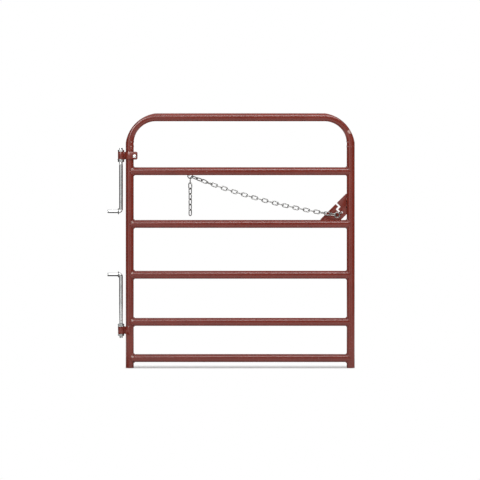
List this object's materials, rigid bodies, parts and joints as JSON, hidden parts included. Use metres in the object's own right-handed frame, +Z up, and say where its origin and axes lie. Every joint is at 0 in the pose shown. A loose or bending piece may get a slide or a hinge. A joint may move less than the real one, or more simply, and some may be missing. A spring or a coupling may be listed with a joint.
{
  "type": "field gate",
  "caption": "Tubular steel walk-through field gate with bent top corners, cross rails, strap hinges with L-bolts, a zigzag latch plate and a hanging latch chain.",
  "frame": {"origin": "middle of the whole gate's outline, hinge bolts included, on the ground", "axes": "+X from the hinge side to the latch side, +Y away from the viewer, +Z up"},
  "size_m": [1.283, 0.075, 1.321],
  "materials": {
    "red_paint": "semi-gloss oxide red powder coat",
    "zinc_fastener": "bright zinc plate",
    "zinc_chain": "bright zinc plate on drawn wire"
  },
  "bodies": {
    "gate_leaf": {"outer_frame": "red_paint", "cross_rail_1": "red_paint", "cross_rail_2": "red_paint", "cross_rail_3": "red_paint", "cross_rail_4": "red_paint", "cross_rail_5": "red_paint", "latch_plate": "red_paint", "upper_hinge_strap": "red_paint", "lower_hinge_strap": "red_paint", "clamp_bolt": "zinc_fastener", "clamp_washer": "zinc_fastener", "clamp_nut": "zinc_fastener", "keeper_hook": "zinc_chain", "keeper_ring": "zinc_chain", "anchor_hook": "zinc_chain"},
    "upper_bolt": {"upper_hinge_bolt": "zinc_fastener", "upper_outer_nut": "zinc_fastener", "upper_inner_nut": "zinc_fastener", "upper_washer": "zinc_fastener"},
    "lower_bolt": {"lower_hinge_bolt": "zinc_fastener", "lower_outer_nut": "zinc_fastener", "lower_inner_nut": "zinc_fastener", "lower_washer": "zinc_fastener"},
    "swag": {"chain_swag": "zinc_chain"},
    "tail_1": {"tail_link_1": "zinc_chain"},
    "tail_2": {"tail_link_2": "zinc_chain"},
    "tail_3": {"tail_link_3": "zinc_chain"},
    "tail_4": {"tail_link_4": "zinc_chain"},
    "tail_5": {"tail_link_5": "zinc_chain"},
    "tail_6": {"tail_link_6": "zinc_chain"},
    "tail_7": {"tail_link_7": "zinc_chain"}
  },
  "joints": [
    {"name": "upper_bolt_turn", "type": "hinge", "parent": "gate_leaf", "child": "upper_bolt", "pos_m": [-0.57117, -0.0054, 0.8125], "axis": [0, 0, 1], "range_deg": [-135, 135]},
    {"name": "lower_bolt_turn", "type": "hinge", "parent": "gate_leaf", "child": "lower_bolt", "pos_m": [-0.57117, -0.0054, 0.4847], "axis": [0, 0, 1], "range_deg": [-135, 135]},
    {"name": "swag_swing", "type": "hinge", "parent": "gate_leaf", "child": "swag", "pos_m": [-0.201, 0.02635, 0.99223], "axis": [-0.9641, 0.0618, 0.2581], "range_deg": [0, 60]},
    {"name": "tail_1_swing", "type": "hinge", "parent": "gate_leaf", "child": "tail_1", "pos_m": [-0.21291, 0.02635, 0.98405], "axis": [1, 0, 0], "range_deg": [-30, 30]},
    {"name": "tail_2_swing", "type": "hinge", "parent": "tail_1", "child": "tail_2", "pos_m": [-0.21291, 0.02635, 0.9565], "axis": [0, -1, 0], "range_deg": [-30, 30]},
    {"name": "tail_3_swing", "type": "hinge", "parent": "tail_2", "child": "tail_3", "pos_m": [-0.21291, 0.02635, 0.9288], "axis": [0.9239, -0.3827, 0], "range_deg": [-30, 30]},
    {"name": "tail_4_swing", "type": "hinge", "parent": "tail_3", "child": "tail_4", "pos_m": [-0.21291, 0.02635, 0.9011], "axis": [-0.7071, -0.7071, 0], "range_deg": [-30, 30]},
    {"name": "tail_5_swing", "type": "hinge", "parent": "tail_4", "child": "tail_5", "pos_m": [-0.21291, 0.02635, 0.8734], "axis": [0.7071, -0.7071, 0], "range_deg": [-30, 30]},
    {"name": "tail_6_swing", "type": "hinge", "parent": "tail_5", "child": "tail_6", "pos_m": [-0.21291, 0.02635, 0.8457], "axis": [-0.7071, -0.7071, 0], "range_deg": [-30, 30]},
    {"name": "tail_7_swing", "type": "hinge", "parent": "tail_6", "child": "tail_7", "pos_m": [-0.21291, 0.02635, 0.818], "axis": [0.7071, -0.7071, 0], "range_deg": [-30, 30]}
  ]
}
